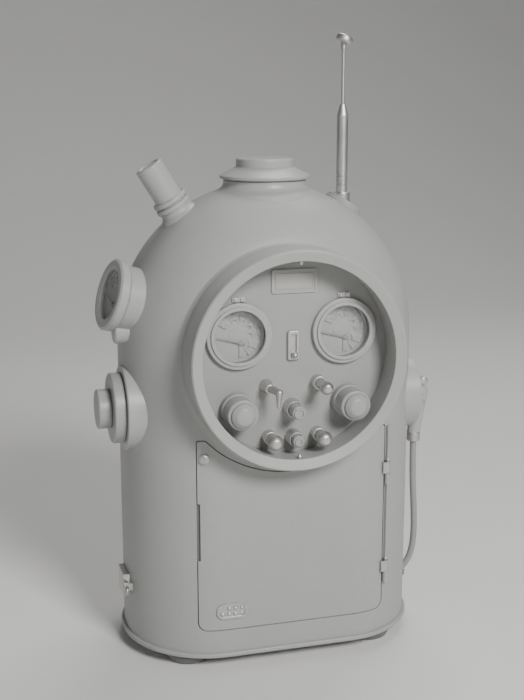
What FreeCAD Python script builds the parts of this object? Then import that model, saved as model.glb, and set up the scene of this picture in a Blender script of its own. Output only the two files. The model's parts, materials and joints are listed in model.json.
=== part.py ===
import FreeCAD, Part
import math
import os

# A dome-topped portable two-way radio set. Millimetres, +X right, +Y back, +Z up.
# The origin is on the floor, under the middle of the cabinet; the front faces -Y.

Vec = FreeCAD.Vector
FRONT = Vec(0, -1, 0)
LEFT = Vec(-1, 0, 0)
RIGHT = Vec(1, 0, 0)
UP = Vec(0, 0, 1)

# ---------------------------------------------------------------- driving sizes
# Cabinet: a rounded rectangle in plan, with a half-round dome on top.
half_width = 122.5
half_depth = 75.5
corner_radius = 70.5
wall = 1.6
foot_height = 10.0
foot_top_radius = 20.0
foot_bottom_radius = 16.5
foot_x = 79.0
foot_y = 46.0
rim_height = 4.0
rim_lip = 2.7
plate_thickness = 2.0
spring_height = 253.0       # from the rim's underside to where the dome starts
ring_height = 247.5         # from the rim's underside to the instrument ring's axis

# Instrument ring and panel.
ring_radius = 86.0
ring_proud = 28.2
ring_length = 46.0
bevel_radius = 77.0
bevel_depth = 2.6
panel_radius = 78.6
panel_depth = 29.1
panel_thickness = 2.5
collar_width = 2.5
collar_thickness = 0.8

# Gauges.
gauge_x = 42.5
gauge_z = 17.5
gauge_radius = 26.0
gauge_opening = 20.3
gauge_proud = 6.0
gauge_step = 4.2            # height of the rim's outer band
gauge_case_depth = 20.0
dial_sink = 4.5
needle_length = 20.0
needle_offset_x = 3.0
needle_offset_z = -6.5

# Panel controls, measured from the ring's axis.
knob_places = [(-44.5, -40.0), (46.5, -39.0)]
knob_radius = 13.2
knob_height = 28.5
toggle_places = [(21.5, -22.5), (-18.5, -64.5), (21.5, -64.5)]
toggle_radius = 5.7
cup_height = 8.0            # of the toggles' bushings
toggle_pivot = 4.1          # height of a toggle's pivot in its bushing
skirt_radius = 4.3          # of the cone on a toggle's stem
upper_tip_radius = 5.2
upper_tip_reach = 28.5
lower_tip_radius = 6.2
lower_tip_reach = 25.0
upper_button_place = (0.5, -42.0)
upper_button_radius = 7.4
upper_cup_height = 10.0
upper_button_proud = 22.0
lower_button_place = (1.5, -66.0)
lower_button_radius = 6.5
lower_cup_height = 11.0
lower_button_proud = 18.5
button_wall = 1.5
button_travel = 3.0
selector_place = (-20.5, -23.5)
slider_place = (1.5, 7.8)
slider_width = 10.0
slider_slot = 4.5
slider_length = 24.0
slider_travel = 13.0
label_width = 37.4
label_height = 18.3
label_x = 2.0
label_z = 58.2

# Door.
door_left = -75.5
door_right = 82.0
door_bottom = 33.5
door_top = 192.5
door_gap = 0.8
door_clearance = 9.0        # between the ring and the door's curved top edge
door_corner = 7.0
hinge_radius = 2.2
hinge_pin_radius = 0.9
knuckle_length = 19.0
knuckle_tops = [161.5, 75.5]
grip_low = 93.0             # the finger notch in the door's free edge
grip_high = 141.0
grip_depth = 2.0
latch_x = -70.2
latch_z = 178.0
badge_x = -49.0
badge_z = 49.5
badge_width = 25.0
badge_height = 13.0

# Dome fittings.
neck_radius = 33.8
cap_radius = 36.8
cap_bottom = 388.3
cap_rim = 2.0
cap_height = 16.8
cap_disc_radius = 23.4
mast_angle = 33.5           # degrees right of the top
mast_radius = 4.65
mast_top = 447.5
mast_taper = 9.0
antenna_disc = 3.8
whip_radius = 1.35
whip_top = 494.0
whip_stroke = 40.0
tip_radius = 7.0
stub_angle = 31.8           # degrees left of upright
stub_x = -72.0
stub_radius = 11.5
stub_length = 45.4

# Left side.
side_y = -15.0
side_gauge_angle = 16.5     # degrees above level, seen from the dome's centre
side_gauge_radius = 28.7
side_gauge_opening = 20.0
side_gauge_proud = 17.5
side_mount_radius = 25.5
side_boss_radius = 10.5
side_knob_y = -12.0
side_knob_z = 208.0
side_base_radius = 34.5
side_dial_radius = 28.5
side_knob_radius = 16.0
strap_z = 56.0
strap_ring_radius = 3.2
strap_wire = 0.9

# Right side.
socket_z = 206.0
socket_radius = 31.0
socket_disc_radius = 16.0
plug_radius = 7.5
plug_reach = 8.5
cable_radius = 2.8

# Clearances.
running = 0.06              # radial, shaft in a bore
moving = 0.4                # between pieces that move past each other
seat = 0.2                  # between fixed pieces that drop into each other

# ---------------------------------------------------------------- worked out
base_z = foot_height
spring_z = base_z + spring_height
ring_z = base_z + ring_height
lip_y = -half_depth - ring_proud
panel_y = lip_y + panel_depth
panel_back_y = panel_y + panel_thickness
inner_half_width = half_width - wall


# ---------------------------------------------------------------- small helpers
def box(x0, x1, y0, y1, z0, z1):
    """A box between two corners."""
    return Part.makeBox(x1 - x0, y1 - y0, z1 - z0, Vec(x0, y0, z0))


def rod(radius, base, axis, length):
    """A round bar from base along axis."""
    return Part.makeCylinder(radius, length, base, axis)


def fuse(shapes):
    """One solid out of touching or overlapping ones."""
    first = shapes[0]
    return first.fuse(shapes[1:]).removeSplitter()


def rounded_wire(corners):
    """A closed wire of straight runs with each corner (x, z, radius) rounded by an arc."""
    ends = []
    count = len(corners)
    for i, (x, z, radius) in enumerate(corners):
        here = Vec(x, 0, z)
        before = Vec(corners[i - 1][0], 0, corners[i - 1][1])
        after = Vec(corners[(i + 1) % count][0], 0, corners[(i + 1) % count][1])
        back = (before - here).normalize()
        ahead = (after - here).normalize()
        if radius <= 0:
            ends.append((here, None, here))
            continue
        half = math.acos(max(-1.0, min(1.0, back.dot(ahead)))) / 2
        reach = radius / math.tan(half)
        centre = here + (back + ahead).normalize() * (radius / math.sin(half))
        middle = centre + (here - centre).normalize() * radius
        ends.append((here + back * reach, middle, here + ahead * reach))
    edges = []
    for i, (start, middle, stop) in enumerate(ends):
        if middle is not None:
            edges.append(Part.Arc(start, middle, stop).toShape())
        following = ends[(i + 1) % count][0]
        if (following - stop).Length > 1e-6:
            edges.append(Part.LineSegment(stop, following).toShape())
    return Part.Wire(edges)


def aimed(shape, base, axis):
    """Turn a shape made about +Z so that +Z points along axis, and put it at base."""
    turned_shape = shape.copy()
    turned_shape.Placement = FreeCAD.Placement(base, FreeCAD.Rotation(UP, axis))
    return turned_shape


def turned(profile, base, axis):
    """Lathe work: a closed outline of (radius, height, corner radius) spun about axis."""
    face = Part.Face(rounded_wire(profile))
    return aimed(face.revolve(Vec(0, 0, 0), UP, 360), base, axis)


def plan_outline(grow, z):
    """The cabinet's plan at height z: a rounded rectangle, grown outwards."""
    x = half_width + grow
    y = half_depth + grow
    radius = corner_radius + grow
    flat_wire = rounded_wire([(-x, -y, radius), (x, -y, radius), (x, y, radius), (-x, y, radius)])
    flat_wire.rotate(Vec(0, 0, 0), RIGHT, 90)
    flat_wire.translate(Vec(0, 0, z))
    return flat_wire


def plan_prism(grow, z0, z1):
    """The cabinet's plan drawn up from z0 to z1."""
    return Part.Face(plan_outline(grow, z0)).extrude(Vec(0, 0, z1 - z0))


def cabinet_solid(grow, bottom):
    """The cabinet's outer form, grown by a distance: the plan drawn up, then half-turned."""
    box_part = plan_prism(grow, bottom, spring_z)
    plan = Part.Face(plan_outline(grow, spring_z))
    reach = half_width + half_depth + grow
    half_plan = plan.common(box(0, reach, -reach, reach, spring_z - 1, spring_z + 1))
    dome = half_plan.revolve(Vec(0, 0, spring_z), FRONT, 180)
    return fuse([box_part, dome])


def front_at(x, grow=0.0):
    """The Y of the cabinet's front surface at a given X, below the dome."""
    across = max(0.0, abs(x) - (half_width - corner_radius))
    radius = corner_radius + grow
    return -(half_depth - corner_radius) - math.sqrt(radius ** 2 - across ** 2)


def side_at(y):
    """Half the cabinet's width at a given Y, below the dome."""
    along = max(0.0, abs(y) - (half_depth - corner_radius))
    return half_width - corner_radius + math.sqrt(corner_radius ** 2 - along ** 2)


def on_panel(x, z, out=0.0):
    """A point in front of the instrument panel."""
    return Vec(x, panel_y - out, ring_z + z)


def ball(radius, centre):
    """A ball."""
    return Part.makeSphere(radius, centre)


def stick(points, radius):
    """A bar of one thickness through points, with round joints."""
    pieces = [ball(radius, p) for p in points]
    for start, stop in zip(points, points[1:]):
        pieces.append(rod(radius, start, stop - start, (stop - start).Length))
    return fuse(pieces)


# ---------------------------------------------------------------- shared solids
outer_form = cabinet_solid(0, base_z)
inner_form = cabinet_solid(-wall, base_z - 1)

dome_out = half_width - corner_radius
gauge_lean = math.radians(side_gauge_angle)
gauge_turn = math.asin((abs(side_y) - (half_depth - corner_radius)) / corner_radius)
gauge_reach = dome_out + corner_radius * math.cos(gauge_turn)
side_gauge_axis = Vec(
    -math.cos(gauge_lean) * math.cos(gauge_turn),
    -math.sin(gauge_turn),
    math.sin(gauge_lean) * math.cos(gauge_turn),
)
side_gauge_base = Vec(
    -gauge_reach * math.cos(gauge_lean), side_y, spring_z + gauge_reach * math.sin(gauge_lean)
)
side_gauge_seat = side_gauge_base + side_gauge_axis * (side_gauge_proud / 2)
side_x = side_at(side_y)
knob_side_x = side_at(side_knob_y)
side_base_face = half_width + 1.5
side_dial_base = side_base_face + moving
side_dial_face = side_dial_base + 9.1
side_knob_face = side_dial_face + 11.0
knob_axis_point = Vec(-knob_side_x, side_knob_y, side_knob_z)

mast_lean = math.radians(mast_angle)
mast_axis = Vec(math.sin(mast_lean), 0, math.cos(mast_lean))
mast_point = Vec(half_width * math.sin(mast_lean), 0, spring_z + half_width * math.cos(mast_lean))
mast_x = mast_point.x - 1.0
stub_lean = math.radians(stub_angle)
stub_axis = Vec(-math.sin(stub_lean), 0, math.cos(stub_lean))
stub_point = Vec(stub_x, 0, spring_z + math.sqrt(half_width ** 2 - stub_x ** 2))

hinge_slope = math.asin((door_right + door_gap + 1 - dome_out) / corner_radius)
hinge_out = corner_radius + hinge_radius + moving
hinge_x = dome_out + hinge_out * math.sin(hinge_slope)
hinge_y = -(half_depth - corner_radius) - hinge_out * math.cos(hinge_slope)


# ---------------------------------------------------------------- door outline
def door_prism(grow):
    """The door's outline as a prism along Y, grown outwards by a distance."""
    corner = door_corner + grow
    wire = rounded_wire([
        (door_left - grow, door_bottom - grow, corner),
        (door_right + grow, door_bottom - grow, corner),
        (door_right + grow, door_top + grow, 1.5 + grow),
        (door_left - grow, door_top + grow, 1.5 + grow),
    ])
    slab = Part.Face(wire).extrude(Vec(0, half_depth, 0))
    slab.translate(Vec(0, -half_depth - 3, 0))
    bite = rod(ring_radius + door_clearance - grow, Vec(0, -2 * half_depth, ring_z), Vec(0, 1, 0),
               3 * half_depth)
    return slab.cut(bite)


def skin(outside, inside):
    """A layer that follows the cabinet, between two distances out from its surface."""
    return cabinet_solid(outside, base_z).cut(cabinet_solid(inside, base_z - 1))


# ---------------------------------------------------------------- cabinet pieces
def cabinet_shell():
    """The dome and its walls, with every opening cut."""
    shell = outer_form.cut(inner_form)
    shell = shell.cut(rod(ring_radius + seat, Vec(0, lip_y, ring_z), Vec(0, 1, 0), half_depth))
    shell = shell.cut(door_prism(door_gap))
    shell = shell.cut(rod(neck_radius - 4, Vec(0, 0, spring_z + dome_out), UP, half_width))
    shell = shell.cut(rod(6, side_gauge_base - side_gauge_axis * 15, side_gauge_axis, 30))
    shell = shell.cut(rod(6, Vec(-half_width - 5, side_knob_y, side_knob_z), RIGHT, 30))
    shell = shell.cut(rod(14, Vec(half_width - 25, side_y, socket_z), RIGHT, 30))
    shell = shell.cut(rod(mast_radius + 2, mast_point - mast_axis * 12, mast_axis, 20))
    shell = shell.cut(rod(stub_radius - 3, stub_point - stub_axis * 12, stub_axis, 24))
    return shell.cut(rod(gland_radius(), gland_point() - gland_axis() * 10, gland_axis(), 20))


def base_plate():
    """The flat floor of the cabinet, inside its walls."""
    return plan_prism(-wall - seat, base_z, base_z + plate_thickness)


def base_rim():
    """The rolled band round the bottom edge."""
    band = plan_prism(rim_lip, base_z, base_z + rim_height)
    edges = [e for e in band.Edges if abs(e.CenterOfMass.z - base_z - rim_height / 2) > 1]
    rolled = band.makeFillet(rim_height * 0.35, edges)
    return rolled.cut(plan_prism(0, base_z - 1, base_z + rim_height + 1))


def feet():
    """Four round rubber feet."""
    pads = []
    for sx in (-1, 1):
        for sy in (-1, 1):
            pads.append(turned(
                [(0, 0, 0), (foot_bottom_radius, 0, 3), (foot_top_radius, foot_height * 0.7, 1.5),
                 (foot_top_radius, foot_height, 0), (0, foot_height, 0)],
                Vec(sx * foot_x, sy * foot_y, 0), UP))
    return Part.makeCompound(pads)


def bezel_ring():
    """The deep turned ring round the instrument panel, with a ledge behind the panel."""
    ledge = panel_depth + panel_thickness
    height = ring_length
    return turned([
        (ring_radius - 1.2, height, 0.5),
        (bevel_radius, height - bevel_depth, 0.6),
        (panel_radius + seat / 2, height - panel_depth, 0),
        (panel_radius + seat / 2, height - ledge, 0),
        (panel_radius - 3, height - ledge, 0),
        (panel_radius - 3, height - ledge - 3, 0),
        (ring_radius - 3, height - ledge - 3, 1),
        (ring_radius - 3, 0, 0),
        (ring_radius, 0, 0),
        (ring_radius, height - 1.4, 1.0),
    ], Vec(0, lip_y + ring_length, ring_z), FRONT)


def bezel_collar():
    """The thin flange that closes the joint between the ring and the curved cabinet."""
    tube = rod(ring_radius + seat + collar_width, Vec(0, lip_y, ring_z), Vec(0, 1, 0), half_depth)
    tube = tube.cut(rod(ring_radius + seat, Vec(0, lip_y - 1, ring_z), Vec(0, 1, 0), half_depth + 2))
    return tube.common(skin(collar_thickness, 0))


def door_frame():
    """The rubber seal behind the door's edge, fixed to the inside of the cabinet."""
    edge = 2.0
    outside = door_prism(4).cut(door_prism(door_gap)).common(skin(-wall, -wall - 1.5))
    behind = door_prism(door_gap).cut(door_prism(-edge)).common(skin(-wall - moving, -wall - 1.5))
    return fuse([outside, behind])


# ---------------------------------------------------------------- panel and label
def instrument_panel():
    """The round plate that carries the instruments."""
    plate = rod(panel_radius, Vec(0, panel_y, ring_z), Vec(0, 1, 0), panel_thickness)
    for sx in (-1, 1):
        plate = plate.cut(panel_hole(sx * gauge_x, gauge_z, gauge_radius - 3))
    for x, z in knob_places:
        plate = plate.cut(panel_hole(x, z, 4.5 + seat))
    for x, z in toggle_places + [selector_place, upper_button_place, lower_button_place]:
        plate = plate.cut(panel_hole(x, z, 3 + seat))
    return plate


def panel_hole(x, z, radius):
    """A round hole right through the panel."""
    return rod(radius, on_panel(x, z, 1), Vec(0, 1, 0), panel_thickness + 2)


def panel_clips():
    """Screws that hold the panel in the ring, and the small clips above the gauges."""
    pieces = []
    for turn in (-1, 1):
        reach = bevel_radius - 3.2
        pieces.append(turned([(0, 0, 0), (0.9, 0, 0), (1.7, 1.6, 0.2), (1.7, 3, 0), (0, 3, 0)],
                             Vec(0, lip_y + bevel_depth + 3, ring_z + turn * reach), UP * turn))
    for sx in (-1, 1):
        x = sx * gauge_x
        z = gauge_z + gauge_radius + 2.2
        strap = box(x - 5, x + 5, panel_y - 1.2, panel_y, ring_z + z - 1.8, ring_z + z + 1.8)
        heads = [turned([(0, 0, 0), (1.5, 0, 0), (1.5, 1.1, 0.5), (0, 1.1, 0)],
                        on_panel(x + step, z, 1.2), FRONT) for step in (-2.6, 2.6)]
        pieces.append(fuse([strap] + heads))
    return Part.makeCompound(pieces)


def framed(width, height, border, thickness, radius):
    """A flat frame in the XZ plane: outer rounded rectangle less the inner one, drawn to -Y."""
    def slab(grow):
        x = width / 2 + grow
        z = height / 2 + grow
        r = max(0.2, radius + grow)
        wire = rounded_wire([(-x, -z, r), (x, -z, r), (x, z, r), (-x, z, r)])
        return Part.Face(wire).extrude(Vec(0, -thickness, 0))
    return slab(border).cut(slab(0))


def label_frame():
    """The thin frame of the station card, with the blank card in it."""
    x = label_width / 2 - 2
    z = label_height / 2 - 1.5
    line = framed(2 * x - 4.2, 2 * z - 4.2, 0.5, 0.9, 0.4)
    frame = fuse([framed(2 * x, 2 * z, 1.6, 1.2, 0.4), line, box(-x, x, -0.5, 0, -z, z)])
    frame.translate(on_panel(label_x, label_z))
    return frame


# ---------------------------------------------------------------- gauges
def bezel_profile(radius, opening, proud, glass_radius):
    """A gauge's rim: a low outer band, a higher inner one, and a groove for its glass."""
    return [(opening, proud, 0.5), (opening, 3.4, 0), (glass_radius + 0.1, 3.4, 0),
            (glass_radius + 0.1, 0, 0), (radius, 0, 0), (radius, gauge_step, 0.9),
            (radius - 2.8, gauge_step + 0.2, 0.15), (radius - 3.2, proud, 0.6)]


def gauge_bezels():
    """The two gauges' rims."""
    rims = []
    for sx in (-1, 1):
        rims.append(turned(bezel_profile(gauge_radius, gauge_opening, gauge_proud, glass_size()),
                           on_panel(sx * gauge_x, gauge_z), FRONT))
    return Part.makeCompound(rims)


def glass_size():
    """The radius of a panel gauge's glass."""
    return gauge_opening + 1.4


def gauge_glasses():
    """The two gauges' glasses."""
    discs = []
    for sx in (-1, 1):
        discs.append(rod(glass_size(), on_panel(sx * gauge_x, gauge_z, 1.8), FRONT, 1.5))
    return Part.makeCompound(discs)


def dial_plate(radius):
    """A dial about +Z: a disc, a raised scale band, its marks and the needle's bridge."""
    disc = turned([(0, -1, 0), (radius, -1, 0), (radius, 0, 0), (0, 0, 0)], Vec(0, 0, 0), UP)
    band = turned([(radius - 6.4, 0, 0), (radius - 2.6, 0, 0), (radius - 2.6, 0.7, 0),
                   (radius - 6.4, 0.7, 0)], Vec(0, 0, 0), UP)
    band = band.cut(box(-radius, 0, -radius, 1, -1, 2))
    bridge = box(needle_offset_x - 1.4, needle_offset_x + 1.4, -radius + 3, needle_offset_z - 2.2,
                 0, 1.4)
    hole = rod(0.6 + running, Vec(needle_offset_x, needle_offset_z, -2), UP, 4)
    return fuse([disc, band, bridge]).cut(hole)


def facing(shape, base, axis, up):
    """Put a flat piece drawn in XY with +Z out so that it faces along axis with +Y near up."""
    out = Vec(axis).normalize()
    side = up.cross(out).normalize()
    top = out.cross(side)
    matrix = FreeCAD.Matrix(side.x, top.x, out.x, base.x, side.y, top.y, out.y, base.y,
                            side.z, top.z, out.z, base.z, 0, 0, 0, 1)
    placed = shape.copy()
    placed.Placement = FreeCAD.Placement(matrix).multiply(shape.Placement)
    return placed


def gauge_dials():
    """The two gauges' dials, sunk behind the panel's face."""
    dials = []
    for sx in (-1, 1):
        dials.append(facing(dial_plate(gauge_radius - 4.6), on_panel(sx * gauge_x, gauge_z, -dial_sink),
                            FRONT, UP))
    return Part.makeCompound(dials)


def gauge_cases():
    """The two gauges' drawn cups behind the panel."""
    radius = gauge_radius - 3 - seat
    cups = []
    for sx in (-1, 1):
        cup = rod(radius, on_panel(sx * gauge_x, gauge_z), Vec(0, 1, 0), gauge_case_depth)
        bore = rod(radius - 1.2, on_panel(sx * gauge_x, gauge_z, 1), Vec(0, 1, 0), gauge_case_depth)
        cups.append(cup.cut(bore))
    return Part.makeCompound(cups)


def needle_blade(length):
    """A needle about +Z that points to -X: hub, spindle and a tapering blade."""
    hub = turned([(0, 0, 0), (1.8, 0, 0), (1.8, 1.0, 0.3), (0, 1.0, 0)], Vec(0, 0, 0), UP)
    spindle = rod(0.6, Vec(0, 0, -2.4), UP, 2.6)
    outline = Part.makePolygon([Vec(3.5, 0.7, 0.2), Vec(-length, 0.3, 0.2), Vec(-length, -0.3, 0.2),
                                Vec(3.5, -0.7, 0.2), Vec(3.5, 0.7, 0.2)])
    return fuse([hub, spindle, Part.Face(outline).extrude(Vec(0, 0, 0.6))])


def needle_pivot(sx):
    """The middle of a panel gauge's needle hub."""
    return on_panel(sx * gauge_x + needle_offset_x, gauge_z + needle_offset_z, 1.7 - dial_sink)


def gauge_needle(sx):
    """A panel gauge's needle, at rest a little above level."""
    blade = needle_blade(needle_length)
    blade.rotate(Vec(0, 0, 0), UP, -15)
    return facing(blade, needle_pivot(sx), FRONT, UP)


# ---------------------------------------------------------------- panel controls
def control_bushings():
    """Threaded bushings that come through the panel round the switches and buttons."""
    pieces = []
    for x, z in toggle_places:
        pieces.append(turned([(0, -panel_thickness, 0), (3, -panel_thickness, 0), (3, 0, 0),
                              (toggle_radius, 0, 0), (toggle_radius, cup_height, 0.8), (3.7, cup_height, 0.3),
                              (2.9, 1.5, 0), (0, 1.5, 0)], on_panel(x, z), FRONT))
    for (x, z), radius, height in (
            (upper_button_place, upper_button_radius, upper_cup_height),
            (lower_button_place, lower_button_radius, lower_cup_height)):
        bore = radius - button_wall
        pieces.append(turned([(0, -panel_thickness, 0), (3, -panel_thickness, 0), (3, 0, 0),
                              (radius, 0, 0), (radius - 0.6, height, 0.4), (bore, height, 0.15),
                              (bore, 1.5, 0), (0, 1.5, 0)], on_panel(x, z), FRONT))
    pieces.append(turned([(2.5 + running, -panel_thickness, 0), (3, -panel_thickness, 0), (3, 0, 0),
                          (toggle_radius, 0, 0), (toggle_radius - 1.6, 7, 0.8),
                          (2.5 + running, 7, 0)], on_panel(*selector_place), FRONT))
    return Part.makeCompound(pieces)


def switch_bodies():
    """What the controls drive, behind the panel: potentiometers, switches and contact blocks."""
    pieces = []
    for x, z in knob_places:
        pieces.append(turned([(3 + running, panel_thickness, 0), (4.5, panel_thickness, 0), (4.5, 0, 0),
                              (12, 0, 0.6), (12, -11, 1.2), (0, -11, 0), (0, -9, 0),
                              (3 + running, -9, 0)], on_panel(x, z, -panel_thickness), FRONT))
    for x, z in toggle_places + [upper_button_place, lower_button_place]:
        pieces.append(box(x - 5, x + 5, panel_back_y, panel_back_y + 14, ring_z + z - 5,
                          ring_z + z + 9))
    x, z = selector_place
    block = rod(10, on_panel(x, z, -panel_thickness), Vec(0, 1, 0), 13)
    bore = rod(2.5 + running, on_panel(x, z, -panel_thickness + 1), Vec(0, 1, 0), 9)
    pieces.append(block.cut(bore))
    return Part.makeCompound(pieces)


def knob(place):
    """A stepped round knob with a groove and a domed end, on its shaft."""
    top = knob_height
    barrel = knob_radius - 1
    profile = [(0, -8, 0), (3, -8, 0), (3, 0.6, 0), (knob_radius, 0.6, 0.5), (knob_radius, 6.5, 1.0),
               (barrel, 7.1, 0.2), (barrel, top - 6, 1.6), (barrel - 2.8, top - 6.6, 0.3),
               (barrel - 2.4, top - 4.2, 1.2), (barrel - 6.0, top - 0.9, 3.0), (0, top, 0)]
    return turned(profile, on_panel(*place), FRONT)


def toggle_lever(place, tip, reach):
    """A toggle: a ball and cross pin in the bushing, a stem, and a ball end with its nose flat."""
    x, z = place
    pivot = ball(2.3, on_panel(x, z, toggle_pivot))
    pin = rod(0.7, on_panel(x - 2.9, z, toggle_pivot), RIGHT, 5.8)
    neck = reach - 1.8 * tip
    stem = turned([(0, toggle_pivot, 0), (1.6, toggle_pivot, 0), (2.1, cup_height + 0.6, 0.2),
                   (skirt_radius, cup_height + 1.6, 0.4), (skirt_radius - 1.3, neck, 0.4),
                   (0.5 * tip, neck + 4, 0), (0, neck + 4, 0)], on_panel(x, z), FRONT)
    end = ball(tip, on_panel(x, z, reach - 0.9 * tip))
    nose = rod(tip + 1, on_panel(x, z, toggle_pivot), FRONT, reach - toggle_pivot)
    return fuse([pivot, pin, stem, end.common(nose)])


def push_button(place, radius, proud):
    """A plunger with a stepped end that slides in its bushing."""
    shank = radius - button_wall - moving
    low = 1.5 + button_travel + 1.0
    return turned([(0, low, 0), (shank, low, 0.3), (shank, proud - 1.5, 0.8),
                   (shank - 1.2, proud - 1.2, 0), (shank - 1.2, proud, 0.4),
                   (shank - 2.4, proud, 0.2), (shank - 2.4, proud - 0.9, 0), (0, proud - 0.9, 0)],
                  on_panel(*place), FRONT)


def selector_lever():
    """A bent lever on a hub: it comes out to the right, then its tapered end hangs down."""
    x, z = selector_place
    hub = turned([(0, -8, 0), (2.5, -8, 0), (2.5, 7.4, 0), (4.4, 7.4, 0.4), (3.9, 12, 0.8),
                  (0, 12.5, 0)], on_panel(x, z), FRONT)
    elbow = on_panel(x + 4, z - 0.5, 22.5)
    tip = on_panel(x + 3, z - 10.5, 24.6)
    arm = stick([on_panel(x, z, 10), on_panel(x + 1.8, z + 0.5, 16), elbow], 3.0)
    blade = Part.makeCone(2.7, 1.4, (tip - elbow).Length, elbow, tip - elbow)
    return fuse([hub, arm, blade, ball(1.4, tip)])


def slider_frame():
    """The upright slotted guide in the middle of the panel."""
    radius = slider_width / 2
    half = slider_slot / 2
    guide = framed(slider_slot, slider_length - 6, radius - half, 2.6, half - 3)
    floor = box(-half, half, -0.6, 0, -(slider_length - 6) / 2, (slider_length - 6) / 2)
    guide = fuse([guide, floor])
    edges = [e for e in guide.Edges if abs(e.CenterOfMass.y + 2.6) < 0.01 and e.Length > 1]
    outer = [e for e in edges if max(abs(e.BoundBox.XMax), abs(e.BoundBox.XMin)) > radius - 0.1]
    guide = guide.makeFillet(0.8, outer)
    guide.translate(on_panel(*slider_place))
    return guide


def slider_tab():
    """The small ball-ended tab that slides in the guide, at rest at its lower end."""
    x, z = slider_place
    low = z - (slider_length - 6) / 2 + 1.9
    stem = turned([(0, 0.6 + moving, 0), (1.6, 0.6 + moving, 0), (1.6, 3.4, 0), (0, 3.4, 0)],
                  on_panel(x, low), FRONT)
    return fuse([stem, ball(2.4, on_panel(x, low, 5.0))])


# ---------------------------------------------------------------- door pieces
def door():
    """The door: a piece of the cabinet's own skin, with the bushing its latch turns in."""
    panel = door_prism(0).common(skin(0, -wall))
    panel = panel.cut(box(door_left - 1, door_left + grip_depth, -2 * half_depth, 0, grip_low, grip_high))
    bushing = turned([(0, -wall - 1.8, 0), (2.8, -wall - 1.8, 0), (2.8, -0.6, 0), (5.2, -0.6, 0),
                      (5.2, 0.3, 0), (0, 0.3, 0)], latch_point(), latch_axis())
    bore = rod(1.5 + running, latch_point() + latch_axis() * 9, -latch_axis(), 20)
    return fuse([panel, bushing]).cut(bore)


def knuckle_heights(top):
    """The fixed lower half and the moving upper half of a knuckle, each as (low, high)."""
    middle = top - knuckle_length / 2
    return (top - knuckle_length, middle - 0.15), (middle + 0.15, top)


def hinge_leaf(x_from, x_to, low, high):
    """A strip of leaf that lies on the cabinet's skin between two X places."""
    strip = box(x_from, x_to, -2 * half_depth, 0, low, high)
    return strip.common(skin(1.0, 0))


def hinge_fixed():
    """The long hinge pin, and the knuckles and leaves fixed to the cabinet."""
    pieces = [rod(hinge_pin_radius, Vec(hinge_x, hinge_y, min(knuckle_tops) - knuckle_length), UP,
                  door_top - min(knuckle_tops) + knuckle_length)]
    edge = door_right + door_gap
    for top in knuckle_tops:
        low, high = knuckle_heights(top)[0]
        barrel = rod(hinge_radius, Vec(hinge_x, hinge_y, low), UP, high - low)
        leaf = hinge_leaf(edge, hinge_x + 3, low, high)
        web = box(hinge_x, hinge_x + hinge_radius, hinge_y, hinge_y + hinge_radius + 2.2, low, high)
        finial = ball(1.7, Vec(hinge_x, hinge_y, top + 1.9))
        pieces += [barrel, leaf, web.cut(outer_form), finial]
    return fuse(pieces)


def door_hinges():
    """The knuckles that turn with the door, with their leaves on its skin."""
    hinges = []
    for top in knuckle_tops:
        low, high = knuckle_heights(top)[1]
        barrel = rod(hinge_radius, Vec(hinge_x, hinge_y, low), UP, high - low)
        leaf = hinge_leaf(door_right - 2, door_right - 0.2, low, high)
        web = box(door_right - 1.6, hinge_x, hinge_y - hinge_radius, hinge_y - hinge_radius + 1.2,
                  low, high)
        post = box(door_right - 1.6, door_right - 0.2, hinge_y - hinge_radius,
                   hinge_y + hinge_radius + 4, low, high).cut(outer_form)
        hinge = fuse([barrel, leaf, web, post])
        hinges.append(hinge.cut(rod(hinge_pin_radius + running, Vec(hinge_x, hinge_y, low - 1), UP,
                                    high - low + 2)))
    return Part.makeCompound(hinges)


def latch_point():
    """Where the latch's axis meets the door's face."""
    return Vec(latch_x, front_at(latch_x), latch_z)


def latch_axis():
    """The way out of the curved skin at the latch."""
    slope = math.asin((abs(latch_x) - dome_out) / corner_radius)
    return Vec(-math.sin(slope), -math.cos(slope), 0)


def door_latch():
    """The quarter-turn latch: slotted head, spindle and a cam behind the door."""
    out = latch_axis()
    head = turned([(0, 0.5, 0), (4.2, 0.5, 0), (4.2, 1.6, 0.6), (2.6, 2.4, 0.4), (0, 2.6, 0)],
                  latch_point(), out)
    slot = facing(box(-0.5, 0.5, -3, 3, 1.8, 4), latch_point(), out, UP)
    spindle = rod(1.5, latch_point() + out, -out, 6.7)
    cam = facing(box(-2.2, 2.2, -8, 2.2, -5.7, -4.2), latch_point(), out, UP)
    return fuse([head.cut(slot), spindle, cam])


def badge_plate():
    """A plain plate with a raised edge and two rows of round studs."""
    def slab(grow, out):
        x = badge_width / 2 + grow
        z = badge_height / 2 + grow
        wire = rounded_wire([(-x, -z, z - 1), (x, -z, z - 1), (x, z, z - 1), (-x, z, z - 1)])
        prism = Part.Face(wire).extrude(Vec(0, half_depth, 0))
        prism.translate(Vec(badge_x, -half_depth - 5, badge_z))
        return prism.common(skin(out, 0))
    plate = fuse([slab(0, 0.9), slab(0, 1.5).cut(slab(-1.6, 2.0))])
    studs = []
    for column in (-3, -1, 1, 3):
        for row in (-1, 1):
            x = badge_x + column * badge_width / 9.5
            z = badge_z + row * badge_height / 5.4
            studs.append(ball(badge_height / 6.6, Vec(x, front_at(x) - 0.4, z)))
    return fuse([plate] + [stud.cut(outer_form) for stud in studs])


# ---------------------------------------------------------------- on the dome
def top_neck():
    """The flared neck under the cap, fitted to the dome."""
    low = spring_z + half_width - 16
    top = cap_bottom - moving
    neck = turned([(neck_radius - 4, low, 0), (neck_radius + 13, low, 0), (neck_radius + 8.5, low + 7.9, 2),
                   (neck_radius, low + 12.8, 7), (neck_radius, top, 0.4), (neck_radius - 4, top, 0)],
                  Vec(0, 0, 0), UP)
    return neck.cut(outer_form)


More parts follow.
